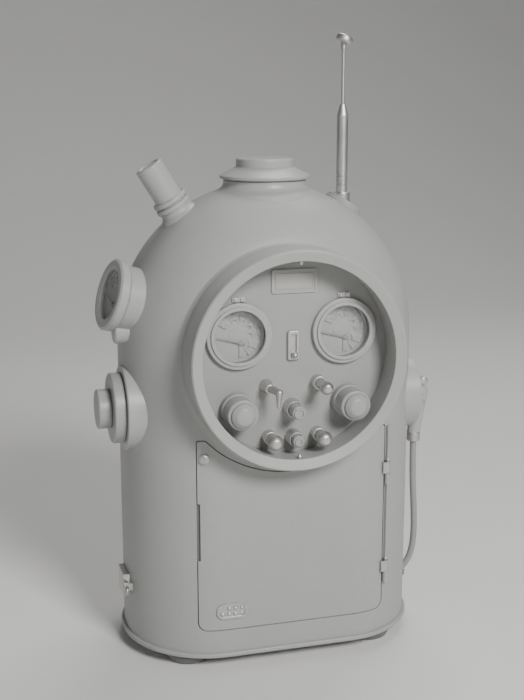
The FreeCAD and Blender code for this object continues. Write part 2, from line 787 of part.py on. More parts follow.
def top_cap():
    """The round cap: thin brim, sloped shoulder and raised disc, with a plug inside the neck."""
    rim = cap_bottom + 1 + cap_rim
    plug = neck_radius - 4 - moving
    return turned([(0, cap_bottom - 9, 0), (plug - 2, cap_bottom - 9, 0), (plug, cap_bottom - 7, 0),
                   (plug, cap_bottom, 0), (cap_radius - 2, cap_bottom, 0.3),
                   (cap_radius, cap_bottom + 1, 0.5), (cap_radius, rim, 0.8),
                   (cap_disc_radius + 1.2, rim + 6.4, 2.0), (cap_disc_radius, rim + 7.0, 0.4),
                   (cap_disc_radius, cap_bottom + cap_height, 1.6), (0, cap_bottom + cap_height, 0)],
                  Vec(0, 0, 0), UP)


def stub_neck():
    """The flared seat of the slanting tube, fitted to the dome."""
    bore = stub_radius - 2
    neck = turned([(bore, -8, 0), (stub_radius + 9, -8, 0), (stub_radius + 5.5, -1.5, 2.5),
                   (stub_radius + 1.8, 2.4, 3), (stub_radius + 1.8, 6, 0), (bore, 6, 0)],
                  stub_point, stub_axis)
    return neck.cut(outer_form)


def stub_tube():
    """The slanting tube: two collars low down, and a dished end with a rounded edge."""
    inner = stub_radius - 1.6
    collar = stub_radius + 3.2
    return turned([(inner, 6, 0), (collar, 6, 0.9), (collar, 10, 1.3), (stub_radius + 0.8, 10.1, 0),
                   (stub_radius + 0.8, 11.1, 0), (collar - 0.2, 11.2, 1.1), (collar - 0.2, 15, 1.3),
                   (stub_radius, 15, 0.3), (stub_radius, stub_length, 1.8),
                   (stub_radius - 3, stub_length, 0.8), (stub_radius - 4, stub_length - 1, 0.4),
                   (0, stub_length - 1.2, 0), (0, stub_length - 3, 0), (inner, stub_length - 3, 0)],
                  stub_point, stub_axis)


def antenna_base():
    """The round insulator that lies on the dome under the mast."""
    disc = turned([(0, -6, 0), (16.4, -6, 0), (16.4, 1.2, 0.5), (15.2, 1.5, 0.3),
                   (15.2, antenna_disc, 1.0), (0, antenna_disc, 0)], mast_point, mast_axis)
    return disc.cut(outer_form)


def antenna_mast():
    """The upright mast: collar, grooved tube and tapered mouth, bored for the whip."""
    low = mast_point.z - 2
    collar_top = mast_point.z + 10.7
    groove = mast_radius - 0.5
    bore = whip_radius + running
    mast = turned([
        (bore, low + 4, 0), (7, low, 0), (7, collar_top, 0.8), (mast_radius, collar_top + 0.4, 0),
        (mast_radius, collar_top + 6, 0), (groove, collar_top + 6.4, 0), (groove, collar_top + 7, 0),
        (mast_radius, collar_top + 7.4, 0), (mast_radius, collar_top + 13, 0),
        (groove, collar_top + 13.4, 0), (groove, collar_top + 14, 0),
        (mast_radius, collar_top + 14.4, 0), (mast_radius, mast_top - mast_taper, 3.0),
        (2.3, mast_top, 0.4), (bore, mast_top, 0),
    ], Vec(mast_x, 0, 0), UP)
    return mast.cut(rod(30, mast_point - mast_axis * 40, mast_axis, 40 + antenna_disc))


def antenna_whip():
    """The thin rod that slides in the mast, with a small tilted disc on its end."""
    low = mast_top - whip_stroke + 8
    rod_part = turned([(0, low, 0), (whip_radius, low, 0), (whip_radius, whip_top - 4, 0),
                       (whip_radius + 0.7, whip_top - 3, 0.4), (whip_radius + 0.7, whip_top + 4, 0),
                       (0, whip_top + 4, 0)], Vec(mast_x, 0, 0), UP)
    lean = math.radians(24)
    axis = Vec(math.sin(lean), 0, math.cos(lean))
    disc = turned([(0, 0, 0), (tip_radius, 0, 2.2), (tip_radius, 6, 2.2), (0, 6, 0)],
                  Vec(mast_x - 0.6, 0, whip_top + 2.2), axis)
    return fuse([rod_part, disc])


# ---------------------------------------------------------------- left side
def side_gauge_mount():
    """The round seat of the side gauge, with its pressed foot on the cabinet's side."""
    seat_part = turned([(0, -14, 0), (side_mount_radius, -14, 0),
                        (side_mount_radius, side_gauge_proud / 2 - 1, 1.0),
                        (side_mount_radius - 2, side_gauge_proud / 2, 0.5),
                        (0, side_gauge_proud / 2, 0)], side_gauge_base, side_gauge_axis)
    foot = turned([(0, -20, 0), (side_boss_radius, -20, 0), (side_boss_radius, 8.5, 2.5), (0, 9.6, 0)],
                  Vec(-side_at(side_y - 2), side_y - 2, side_gauge_base.z - 25), LEFT)
    return fuse([seat_part, foot]).cut(outer_form)


def side_gauge_bezel():
    """The side gauge's deep rim."""
    deep = side_gauge_proud / 2
    return turned([(side_gauge_opening, deep - 1, 0.3), (side_gauge_opening, deep - 2, 0),
                   (side_gauge_opening + 1.5, deep - 2, 0), (side_gauge_opening + 1.5, 0, 0),
                   (side_gauge_radius - 1.5, 0, 0.5), (side_gauge_radius, 1.5, 0.5),
                   (side_gauge_radius, deep - 1.5, 1.2), (side_gauge_radius - 2, deep, 0.8),
                   (side_gauge_opening + 3, deep, 0.8)], side_gauge_seat, side_gauge_axis)


def side_gauge_glass():
    """The side gauge's glass."""
    base = side_gauge_seat + side_gauge_axis * (side_gauge_proud / 2 - 3.45)
    return rod(side_gauge_opening + 1.4, base, side_gauge_axis, 1.4)


def side_gauge_dial():
    """The side gauge's dial."""
    base = side_gauge_seat + side_gauge_axis * (side_gauge_proud / 2 - 6.0)
    return facing(dial_plate(side_gauge_opening + 1.4), base, side_gauge_axis, UP)


def side_needle_pivot():
    """The middle of the side gauge's needle hub."""
    out = Vec(side_gauge_axis)
    side = UP.cross(out).normalize()
    top = out.cross(side)
    hub = side_gauge_seat + out * (side_gauge_proud / 2 - 4.6)
    return hub + side * needle_offset_x + top * needle_offset_z


def side_gauge_needle():
    """The side gauge's needle, without a spindle so that it stays above its dial."""
    blade = needle_blade(needle_length - 2)
    blade = blade.cut(box(-3, 3, -3, 3, -4, 0))
    blade.rotate(Vec(0, 0, 0), UP, -15)
    return facing(blade, side_needle_pivot(), side_gauge_axis, UP)


def side_knob_base():
    """The round fixed seat of the side knob."""
    face = side_base_face - knob_side_x
    bore = 5 + running
    ring = turned([(bore, -40, 0), (side_base_radius, -40, 0), (side_base_radius, face, 1.2),
                   (bore, face, 0)], knob_axis_point, LEFT)
    boss = turned([(bore, -10, 0), (9, -10, 0), (9, -1, 0), (bore, -1, 0)], knob_axis_point, LEFT)
    sleeve = turned([(bore, -9, 0), (5.8, -9, 0), (5.8, 0, 0), (bore, 0, 0)], knob_axis_point, LEFT)
    return fuse([ring.cut(outer_form), boss.common(inner_form), sleeve])


def side_dial():
    """The middle disc, which the knob drives at a sixth of its own turn."""
    low = side_dial_base - knob_side_x
    high = side_dial_face - knob_side_x
    bore = 3 + running
    return turned([(bore, low - 13, 0), (5, low - 13, 0), (5, low, 0), (side_dial_radius, low, 0.5),
                   (side_dial_radius, high, 1.6), (bore, high, 0)], knob_axis_point, LEFT)


def side_knob():
    """The small outer knob, on a spindle through the middle disc."""
    low = side_dial_face - knob_side_x + moving
    high = side_knob_face - knob_side_x
    return turned([(0, low - 14, 0), (3, low - 14, 0), (3, low, 0), (side_knob_radius, low, 0.4),
                   (side_knob_radius, high, 1.6), (0, high + 0.3, 0)], knob_axis_point, LEFT)


def strap_anchor():
    """The small folded bracket low on the side that carries the strap's ring."""
    x = -half_width
    pivot = strap_pivot()
    plate = box(x - 4.5, x + 12, pivot.y + 6, pivot.y + 30, strap_z - 10, strap_z + 9)
    arm = box(x - 1.0, x + 12, pivot.y - 1, pivot.y + 7, strap_z - 2.6, strap_z + 3.4)
    tab = box(x - 4.8, x + 12, pivot.y - 1, pivot.y + 1, strap_z - 2.6, strap_z + 3.4)
    bracket = fuse([plate, arm, tab]).cut(outer_form)
    return bracket.cut(rod(strap_wire + 0.6, pivot - Vec(0, 3, 0), Vec(0, 1, 0), 5))


def strap_pivot():
    """Where the strap's ring hangs in the bracket."""
    return Vec(-half_width - 2.8, -22, strap_z)


def strap_ring():
    """The ring that hangs in the bracket's tab, flat along the cabinet's side."""
    centre = strap_pivot() - Vec(0, 0, strap_ring_radius)
    return Part.makeTorus(strap_ring_radius, strap_wire, centre, RIGHT)


# ---------------------------------------------------------------- right side
def socket_flange():
    """The round flange and raised disc of the cable's socket."""
    start = Vec(side_x, side_y, socket_z)
    edge = half_width + 2.5 - side_x
    disc = turned([(0, -40, 0), (socket_radius, -40, 0), (socket_radius, edge, 1.2),
                   (socket_disc_radius, edge, 0.4), (socket_disc_radius, edge + 4, 0.8),
                   (0, edge + 4, 0)], start, RIGHT)
    barrel = rod(12, Vec(half_width - 18, side_y, socket_z), RIGHT, 20)
    return fuse([disc.cut(outer_form), barrel])


def connector_plug():
    """The elbow plug that stands on the disc and turns the cable down, with its clamp strap."""
    elbow = Vec(half_width + 13, side_y, socket_z - 2)
    down = (plug_exit() - elbow)
    start = Vec(half_width, side_y, socket_z - 2)
    strap = box(half_width + 3, half_width + 15.5, side_y - 6.6, side_y - 3, socket_z - 14, socket_z + 12)
    body = fuse([
        rod(plug_radius, start, RIGHT, 13),
        ball(plug_radius, elbow),
        Part.makeCone(plug_radius - 0.2, 5.5, down.Length + 1, elbow, down),
        strap.makeFillet(1.2, [e for e in strap.Edges if e.BoundBox.YLength > 3]),
    ])
    below = rod(3 * plug_radius, plug_exit(), Vec(0, 0, -1), 12)
    return body.cut(below).cut(socket_flange()).cut(connector_screws())


def plug_exit():
    """Where the cable leaves the plug's nut."""
    return Vec(half_width + plug_reach, side_y, socket_z - 38)


def connector_screws():
    """The two round-headed screws of the plug's clamp."""
    heads = []
    for out, z in ((13.6, socket_z + 8.6), (11.2, socket_z - 11)):
        start = Vec(half_width + out, side_y - 6.6, z)
        heads.append(turned([(0, -2.5, 0), (1.4, -2.5, 0), (1.4, 0, 0), (3.6, 0, 0.3), (3.6, 1.6, 0.9),
                             (0, 2.2, 0)], start, FRONT))
    return Part.makeCompound(heads)


def cable_nut():
    """The ribbed nut that clamps the cable under the plug."""
    return turned([(cable_radius, 0, 0), (5.8, 0, 0.5), (5.8, 8, 0.5), (cable_radius, 8, 0)],
                  plug_exit() - Vec(0, 0, 8), UP)


def gland_point():
    """Where the cable goes back through the cabinet's side."""
    return Vec(side_at(-11), -11, base_z + 28)


def gland_axis():
    """The way the gland points: out of the side and up."""
    return Vec(0.70, -0.07, 0.71).normalize()


def gland_radius():
    """The gland's radius where it passes the wall."""
    return cable_radius + 1.6


def cable_gland():
    """The soft bush round the cable at the wall."""
    radius = gland_radius()
    tube = turned([(cable_radius, -7, 0), (radius, -7, 0), (radius, 2, 0), (radius - 0.4, 3.6, 0.5),
                   (cable_radius, 3.6, 0)], gland_point(), gland_axis())
    flange = turned([(cable_radius, -3, 0), (radius + 1.5, -3, 0), (radius + 1.5, 1.6, 0.5),
                     (cable_radius, 1.6, 0)], gland_point(), gland_axis())
    return fuse([tube, flange.cut(outer_form)])


def cable_route():
    """The cable's points, from the nut down the side and back into the gland."""
    start = plug_exit() - Vec(0, 0, 8)
    out = half_width
    stop = gland_point()
    return [
        start,
        Vec(start.x, side_y, start.z - 30),
        Vec(out + 11.1, side_y + 0.6, start.z - 61),
        Vec(out + 12.4, side_y + 1.6, start.z - 87),
        Vec(out + 10.9, side_y + 2.8, start.z - 104.5),
        stop + gland_axis() * 9,
        stop + gland_axis() * -2.5,
    ]


def cable():
    """The cable: straight runs joined by tangent arcs, and a round section along them."""
    points = cable_route()
    edges = []
    at = points[0]
    for before, here, after in zip(points, points[1:], points[2:]):
        back = (before - here)
        ahead = (after - here)
        shorter = min(back.Length, ahead.Length)
        back.normalize()
        ahead.normalize()
        half_turn = (math.pi - back.getAngle(ahead)) / 2
        reach = 0.45 * shorter
        radius = reach / math.tan(half_turn)
        start = here + back * reach
        stop = here + ahead * reach
        centre = here + (back + ahead).normalize() * (radius / math.cos(half_turn))
        middle = centre + (here - centre).normalize() * radius
        edges.append(Part.LineSegment(at, start).toShape())
        edges.append(Part.Arc(start, middle, stop).toShape())
        at = stop
        print("cable bend radius", round(radius, 1))
    edges.append(Part.LineSegment(at, points[-1]).toShape())
    path = Part.Wire(edges)
    section = Part.Wire(Part.makeCircle(cable_radius, points[0], points[1] - points[0]))
    tube = path.makePipeShell([section], True, False)
    expected = math.pi * cable_radius ** 2 * path.Length
    print("cable length", round(path.Length, 1), "volume over expected", round(tube.Volume / expected, 4))
    return tube


# ---------------------------------------------------------------- inside
def chassis():
    """The folded tray that carries the works, on two legs from the floor."""
    shelf_z = base_z + 152
    shelf = box(-98, 98, -40, 52, shelf_z, shelf_z + 1.6)
    pieces = [shelf]
    for sx in (-1, 1):
        x0 = min(sx * 98, sx * 96.4)
        pieces.append(box(x0, x0 + 1.6, -40, 52, base_z + plate_thickness, shelf_z))
    return fuse(pieces)


def battery_pack():
    """The battery block that the door gives access to."""
    block = box(-68, 68, -34, 34, base_z + plate_thickness, base_z + 118)
    return block.makeFillet(3, [e for e in block.Edges if e.BoundBox.ZLength > 50])


def valves():
    """Three glass valves in their sockets on the shelf."""
    pieces = []
    shelf_z = base_z + 152 + 1.6
    for x in (-46, 0, 46):
        pieces.append(turned([(0, 0, 0), (13, 0, 0.5), (13, 9, 0.8), (11.5, 9.2, 0), (12.5, 20, 6),
                              (12.5, 44, 8), (3, 52, 1), (0, 54, 0)], Vec(x, 18, shelf_z), UP))
    return Part.makeCompound(pieces)


def transformer():
    """The transformer beside the valves: a laminated core and its winding."""
    shelf_z = base_z + 152 + 1.6
    core = box(58, 88, -26, -2, shelf_z, shelf_z + 26)
    return core.makeFillet(2, [e for e in core.Edges if e.BoundBox.ZLength > 20])


# ---------------------------------------------------------------- write the parts
def all_parts():
    """Every node's shape by name."""
    return {
        "cabinet_shell": cabinet_shell(),
        "base_plate": base_plate(),
        "base_rim": base_rim(),
        "feet": feet(),
        "bezel_ring": bezel_ring(),
        "bezel_collar": bezel_collar(),
        "door_seal": door_frame(),
        "instrument_panel": instrument_panel(),
        "panel_clips": panel_clips(),
        "label_frame": label_frame(),
        "gauge_bezels": gauge_bezels(),
        "gauge_glasses": gauge_glasses(),
        "gauge_dials": gauge_dials(),
        "gauge_cases": gauge_cases(),
        "gauge_needle_left": gauge_needle(-1),
        "gauge_needle_right": gauge_needle(1),
        "control_bushings": control_bushings(),
        "switch_bodies": switch_bodies(),
        "knob_left": knob(knob_places[0]),
        "knob_right": knob(knob_places[1]),
        "toggle_upper": toggle_lever(toggle_places[0], upper_tip_radius, upper_tip_reach),
        "toggle_lower_left": toggle_lever(toggle_places[1], lower_tip_radius, lower_tip_reach),
        "toggle_lower_right": toggle_lever(toggle_places[2], lower_tip_radius, lower_tip_reach),
        "button_upper": push_button(upper_button_place, upper_button_radius, upper_button_proud),
        "button_lower": push_button(lower_button_place, lower_button_radius, lower_button_proud),
        "selector_lever": selector_lever(),
        "slider_frame": slider_frame(),
        "slider_tab": slider_tab(),
        "door": door(),
        "hinge_fixed": hinge_fixed(),
        "door_hinges": door_hinges(),
        "door_latch": door_latch(),
        "badge_plate": badge_plate(),
        "top_neck": top_neck(),
        "top_cap": top_cap(),
        "stub_neck": stub_neck(),
        "stub_tube": stub_tube(),
        "antenna_base": antenna_base(),
        "antenna_mast": antenna_mast(),
        "antenna_whip": antenna_whip(),
        "side_gauge_mount": side_gauge_mount(),
        "side_gauge_bezel": side_gauge_bezel(),
        "side_gauge_glass": side_gauge_glass(),
        "side_gauge_dial": side_gauge_dial(),
        "side_gauge_needle": side_gauge_needle(),
        "side_knob_base": side_knob_base(),
        "side_dial": side_dial(),
        "side_knob": side_knob(),
        "strap_anchor": strap_anchor(),
        "strap_ring": strap_ring(),
        "socket_flange": socket_flange(),
        "connector_plug": connector_plug(),
        "connector_screws": connector_screws(),
        "cable_nut": cable_nut(),
        "cable": cable(),
        "cable_gland": cable_gland(),
        "chassis": chassis(),
        "transformer": transformer(),
        "valves": valves(),
        "battery_pack": battery_pack(),
    }


def main():
    """Write one STEP file for each node."""
    os.makedirs("parts", exist_ok=True)
    for name, shape in all_parts().items():
        if not shape.isValid() or shape.Volume <= 0:
            print("BAD SHAPE", name)
        shape.exportStep(os.path.join("parts", name + ".step"))
        print(name, "solids", len(shape.Solids), "volume", round(shape.Volume))


main()
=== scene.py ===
# %% [markdown]
# # A dome-topped portable radio set
# The set is a pressed steel cabinet with a half-round dome, a deep round instrument ring, a
# battery door and a rod antenna. Its working parts come ready made from the frame. This lesson
# gives every part its finish, and adds the shapes that are easier to write as formulas: the
# relief on the dials, the cove round the ring and the cable.

# %% Load the frame
import json
import math

import bpy
import numpy as np
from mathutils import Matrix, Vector


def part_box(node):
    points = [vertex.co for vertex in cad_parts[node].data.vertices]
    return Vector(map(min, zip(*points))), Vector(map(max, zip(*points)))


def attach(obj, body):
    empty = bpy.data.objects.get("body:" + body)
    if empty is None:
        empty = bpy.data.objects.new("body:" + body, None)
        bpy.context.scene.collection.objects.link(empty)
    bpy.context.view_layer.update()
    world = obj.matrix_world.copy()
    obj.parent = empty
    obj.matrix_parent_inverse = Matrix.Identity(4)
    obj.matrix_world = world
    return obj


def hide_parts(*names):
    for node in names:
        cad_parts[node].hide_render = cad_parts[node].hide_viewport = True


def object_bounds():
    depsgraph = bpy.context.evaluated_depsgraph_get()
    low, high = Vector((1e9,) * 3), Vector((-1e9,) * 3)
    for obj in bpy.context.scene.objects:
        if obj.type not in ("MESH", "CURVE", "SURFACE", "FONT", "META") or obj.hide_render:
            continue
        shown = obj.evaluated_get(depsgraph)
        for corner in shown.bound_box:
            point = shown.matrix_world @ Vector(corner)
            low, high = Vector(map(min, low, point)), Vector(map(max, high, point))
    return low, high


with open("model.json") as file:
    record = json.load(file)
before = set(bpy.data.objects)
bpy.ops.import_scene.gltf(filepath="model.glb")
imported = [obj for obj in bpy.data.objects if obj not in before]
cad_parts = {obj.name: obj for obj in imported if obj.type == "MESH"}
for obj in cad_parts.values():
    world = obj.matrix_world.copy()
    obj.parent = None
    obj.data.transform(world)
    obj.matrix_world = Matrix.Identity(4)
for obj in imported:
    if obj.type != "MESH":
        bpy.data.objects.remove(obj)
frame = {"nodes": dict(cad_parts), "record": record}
cad_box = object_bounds()
mm = 0.001

# %% [markdown]
# ## Places
# Most places come from the frame's own boxes, so a changed part carries its details with it. The
# cable's points and the side gauge's lean are given as numbers where they are used. The ring's
# axis runs front to back, and its lip is the part nearest to the viewer.

# %% Read the places from the frame
shell_low, shell_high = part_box("cabinet_shell")
ring_low, ring_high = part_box("bezel_ring")
rims_low, rims_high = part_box("gauge_bezels")

half_width = shell_high.x
half_depth = shell_high.y
spring_z = shell_high.z - half_width
ring_z = (ring_low.z + ring_high.z) / 2
ring_radius = (ring_high.z - ring_low.z) / 2
lip_y = ring_low.y
gauge_radius = (rims_high.z - rims_low.z) / 2
gauge_x = rims_high.x - gauge_radius
gauge_z = (rims_high.z + rims_low.z) / 2
print("ring axis", round(ring_z, 4), "lip", round(lip_y, 4), "dome springs at", round(spring_z, 4))

# %% [markdown]
# ## Surfaces from formulas
# A new piece is a grid of points worked out in one go with numpy. One helper turns such a grid
# into a smooth mesh: it joins neighbouring points into four-sided faces, and closes the grid on
# itself where the surface goes all the way round.

# %% Turn a grid of points into a piece
def grid_faces(rows, columns, closed=False):
    """Four-sided faces between neighbouring rings; closed also joins the last ring to the first."""
    index = np.arange(rows * columns).reshape(rows, columns)
    index = np.concatenate([index, index[:, :1]], axis=1)
    if closed:
        index = np.concatenate([index, index[:1]], axis=0)
    faces = np.stack([index[:-1, :-1], index[:-1, 1:], index[1:, 1:], index[1:, :-1]], axis=-1)
    return faces.reshape(-1, 4).tolist()


def enclosed(points, faces):
    """The volume inside the faces, by summing the pyramids that each face makes with the origin."""
    total = 0.0
    for face in faces:
        a = points[face[0]]
        for b, c in zip(face[1:], face[2:]):
            total += float(np.dot(a, np.cross(points[b], points[c]))) / 6
    return total


def piece(name, points, faces, body, material):
    """A smooth-shaded closed mesh at the origin, its faces turned outwards, that rides on a body."""
    if enclosed(points, faces) < 0:
        faces = [face[::-1] for face in faces]
    mesh = bpy.data.meshes.new(name)
    mesh.from_pydata(points.tolist(), [], faces)
    mesh.shade_smooth()
    mesh.set_sharp_from_angle(angle=math.radians(40))
    mesh.materials.append(material)
    made = bpy.data.objects.new(name, mesh)
    bpy.context.scene.collection.objects.link(made)
    print(name, "points", len(points), "faces", len(faces))
    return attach(made, body)


# %% [markdown]
# ## Colours and nodes
# Paint makers give colours as hex values, which are in sRGB. The renderer works in linear light,
# so one function turns one into the other. Another small function adds a shader node, sets what
# it is told to set, and links what it is told to link.

# %% Colour and node helpers
def linear(hex_colour):
    """A hex colour such as 9a9a98 as four linear numbers."""
    values = [int(hex_colour[i:i + 2], 16) / 255 for i in (0, 2, 4)]
    return [v / 12.92 if v <= 0.04045 else ((v + 0.055) / 1.055) ** 2.4 for v in values] + [1.0]


def add(tree, kind, inputs=(), **settings):
    """One node: settings are its own properties, inputs are (socket, value or another socket)."""
    made = tree.nodes.new(kind)
    for name, value in settings.items():
        setattr(made, name, value)
    for name, value in inputs:
        if isinstance(value, bpy.types.NodeSocket):
            tree.links.new(value, made.inputs[name])
        else:
            made.inputs[name].default_value = value
    return made


def coated(name, light, dark, grain, relief, roughness, metallic=0.0, change=0.06, stretch=(1, 1, 1),
           cells=False):
    """A finish with two close colours, a grain of a real size in millimetres, and a fine relief.

    A slow noise mixes the two colours and changes the roughness, as handling and dust do. A quick
    pattern at the grain's size, either noise or rounded cells, lifts the surface by relief
    millimetres. stretch above one in a direction packs the grain closer that way.
    """
    material = bpy.data.materials.new(name)
    material.use_nodes = True
    tree = material.node_tree
    tree.nodes.clear()
    where = add(tree, "ShaderNodeTexCoord").outputs["Object"]
    placed = add(tree, "ShaderNodeMapping", [("Vector", where), ("Scale", stretch)]).outputs["Vector"]
    slow = add(tree, "ShaderNodeTexNoise", [("Vector", where), ("Scale", 22.0), ("Detail", 5.0),
                                            ("Roughness", 0.6)]).outputs["Fac"]
    if cells:
        quick = add(tree, "ShaderNodeTexVoronoi", [("Vector", placed), ("Scale", 1000.0 / grain),
                                                   ("Smoothness", 0.7)],
                    feature="SMOOTH_F1").outputs["Distance"]
    else:
        quick = add(tree, "ShaderNodeTexNoise", [("Vector", placed), ("Scale", 1000.0 / grain),
                                                 ("Detail", 2.0)]).outputs["Fac"]
    both = add(tree, "ShaderNodeMix", [("Factor", 0.35), ("A", slow), ("B", quick)])
    colour = add(tree, "ShaderNodeMix", [("Factor", both.outputs["Result"]), ("A", linear(dark)),
                                         ("B", linear(light))], data_type="RGBA")
    rough = add(tree, "ShaderNodeMapRange", [("Value", slow), ("From Min", 0.3), ("From Max", 0.7),
                                             ("To Min", roughness - change),
                                             ("To Max", roughness + change)])
    bump = add(tree, "ShaderNodeBump", [("Height", quick), ("Strength", 1.0), ("Distance", relief * mm)])
    skin = add(tree, "ShaderNodeBsdfPrincipled", [("Base Color", colour.outputs[2]),
                                                  ("Roughness", rough.outputs["Result"]),
                                                  ("Metallic", metallic),
                                                  ("Normal", bump.outputs["Normal"])])
    add(tree, "ShaderNodeOutputMaterial", [("Surface", skin.outputs["BSDF"])])
    finishes[name] = material
    return material


finishes = {}

# %% [markdown]
# ## The cabinet's hammered enamel
# The cabinet is pressed steel sprayed with stoving enamel that draws up into small shallow cells
# as it dries. It gives the eye a soft mid grey with a broad, slightly broken highlight on the dome.

# %% Hammered stove enamel
coated("cabinet_enamel", "a9a9a7", "9d9d9b", 2.4, 0.02, 0.47, cells=True)

# %% [markdown]
# ## The ring's smooth enamel
# The instrument ring is a casting turned on a lathe and brushed with satin enamel. Its coat is
# thicker and smoother than the cabinet's, so its highlight is tighter and its edges read clean.
# The gauges' rims, the cap and its neck, and the seats on both sides share it.

# %% Satin enamel over a turned casting
coated("ring_enamel", "acacaa", "a2a2a0", 1.6, 0.012, 0.40)

# %% [markdown]
# ## The panel's wrinkle enamel
# Instrument panels are sprayed with a varnish that shrinks into fine wrinkles in the oven. It
# hides scratches and kills glare, so the panel looks a shade darker and drier than the ring.

# %% Fine wrinkle enamel
coated("panel_enamel", "a4a4a2", "949492", 0.9, 0.07, 0.58)

# %% [markdown]
# ## Nickel plate
# Hinges, latch, toggles, the whip and the strap's bracket are steel with a dull nickel plate. It
# is warmer and softer than chrome: it gives wide, milky highlights with slight buffing streaks.

# %% Dull nickel plate
coated("plated_metal", "cfcecb", "bfbebb", 0.8, 0.008, 0.46, metallic=1.0, stretch=(1, 1, 5))

# %% [markdown]
# ## Turned aluminium
# The mast is turned from aluminium bar, and the tool leaves fine rings across its length. Close
# packing of the grain along the height gives that faint banding. The badge is the same metal.

# %% Turned aluminium
coated("bright_metal", "d6d6d4", "c6c6c4", 1.6, 0.008, 0.44, metallic=1.0, stretch=(1, 1, 8))

# %% [markdown]
# ## Rubber
# The feet, the door's seal and the cable's bush are moulded rubber, dusted with chalk in the
# factory. They scatter light evenly and stay the darkest matt pieces on the set.

# %% Moulded rubber
coated("dark_rubber", "7b7b79", "6a6a68", 0.8, 0.05, 0.78)

# %% [markdown]
# ## Phenolic resin
# Knobs, buttons and the mast's insulator are pressed from phenolic resin filled with wood flour.
# Fingers polish it, so its roughness changes more from place to place than any paint's does.

# %% Phenolic resin
coated("knob_resin", "a7a7a5", "989896", 0.7, 0.012, 0.42, change=0.10)

# %% [markdown]
# ## Printed dials, needles and the station card
# The dials are pressed tin with a matt printed face, the needles are lacquered aluminium, and
# the card is plain board behind a metal frame. All three are matt so that the glass alone shines.

# %% Dial, needle and card
coated("dial_paint", "a9a9a6", "989895", 0.8, 0.02, 0.62)
coated("needle_paint", "8b8b89", "807f7d", 0.5, 0.004, 0.5)
coated("card", "adada9", "a09f9b", 0.6, 0.02, 0.7)

# %% [markdown]
# ## Glass
# The gauges' glasses are flat drawn sheet, about a millimetre and a half thick, and the valves
# inside share the material. Clean glass shows only as a weak reflection, so it is nearly clear.

# %% Clear sheet glass
glass = coated("clear_glass", "f2f4f4", "eceeee", 5.0, 0.0, 0.05, change=0.02)
glass.node_tree.nodes["Principled BSDF"].inputs["Alpha"].default_value = 0.04

# %% [markdown]
# ## Cable sheath
# The cable is stranded wire in extruded rubber with a fine lengthwise drag from the die. It is
# duller than enamel and slightly darker, with one soft line of light along it.

# %% Extruded sheath
coated("cable_sheath", "9c9c9a", "8d8d8b", 0.9, 0.02, 0.60, stretch=(1, 1, 0.25))

# %% [markdown]
# ## Inside the cabinet
# The chassis is zinc-plated sheet, whose crystals show as faint patches. The battery is a card
# box dipped in wax. Both are seen only when the door is open, as darker shapes in the shade.

# %% Zinc-plated sheet and waxed card
coated("works_metal", "b2b2b0", "9e9e9c", 3.0, 0.008, 0.48, metallic=1.0, cells=True)
coated("battery_case", "8a8986", "7d7c79", 1.2, 0.04, 0.66)

# %% Give every part its finish
slots = {s["node"]: s["material_slot"] for s in frame["record"]["subparts"]}
for name, thing in frame["nodes"].items():
    thing.data.materials.clear()
    thing.data.materials.append(finishes[slots[name]])
print("finishes", len(finishes), "on", len(slots), "parts")

# %% [markdown]
# ## The cove round the ring
# Where the straight ring meets the bulging cabinet, the sheet is drawn up in a soft hollow curve.
# At each angle round the ring, the cove's section is a curve that starts along the ring's wall,
# bends at the corner and lies down on the cabinet. The cabinet's front is flat in the middle and
# round at its sides, and the dome carries the same section round its own centre.

# %% The cove
front_flat = 5 * mm                     # how far in front of the middle the end circles centre
corner_radius = half_depth - front_flat
flat_half = half_width - corner_radius


def cabinet_front(x, z):
    """How far forward the cabinet's skin stands: a flat middle, then a circle at the corner.

    Below the dome's spring line the distance from the middle is |x|; in the dome it is the
    straight distance from the dome's centre.
    """
    far = np.where(z > spring_z, np.hypot(x, z - spring_z), np.abs(x))
    across = np.clip(far - flat_half, 0, corner_radius)
    return -(half_depth - corner_radius) - np.sqrt(corner_radius ** 2 - across ** 2)


cove_width = 6 * mm


def cove_points(width, turns=240, steps=10):
    """A closed section swept round the ring.

    The visible side is a quadratic curve: its ends are one width up the ring's wall and one width
    out along the skin, and its control point is the corner between them.
    """
    angle = np.linspace(0, 2 * np.pi, turns, endpoint=False)[None, :]
    t = np.linspace(0, 1, steps)[:, None]
    wall, foot = ring_radius + 0.05 * mm, ring_radius + width

    def skin(radius):
        return cabinet_front(radius * np.sin(angle), ring_z + radius * np.cos(angle))

    radius = (1 - t) ** 2 * wall + 2 * t * (1 - t) * wall + t ** 2 * foot + 0 * angle
    depth = ((1 - t) ** 2 * (skin(wall) - width) + 2 * t * (1 - t) * skin(wall)
             + t ** 2 * (skin(foot) - 0.05 * mm))
    radius = np.concatenate([radius, np.full_like(angle, ring_radius - 0.6 * mm)])
    depth = np.concatenate([depth, skin(wall) + 0.8 * mm])
    return np.stack([radius * np.sin(angle), depth, ring_z + radius * np.cos(angle)], axis=-1)


cove_grid = cove_points(cove_width)
cove = piece("ring_cove", cove_grid.reshape(-1, 3), grid_faces(*cove_grid.shape[:2], closed=True),
             "cabinet", finishes["cabinet_enamel"])
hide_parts("bezel_collar")

# %% [markdown]
# ## The dials' relief
# Each dial is a pressed disc. Its height is the greatest of four shapes made of smooth steps: a
# scale of blocks that runs clockwise from ten o'clock to five o'clock, a thin rim outside it, an
# upright bridge under the needle's pivot, and a low plain boss in the middle.

# %% One dial's height
scale_start, scale_end = -62, 152       # degrees clockwise from the top
dial_thickness = 0.9 * mm


def step(value, edge, blur):
    """Zero below the edge, one above it, with a smooth ramp as wide as the blur."""
    t = np.clip((value - edge) / blur + 0.5, 0, 1)
    return t * t * (3 - 2 * t)


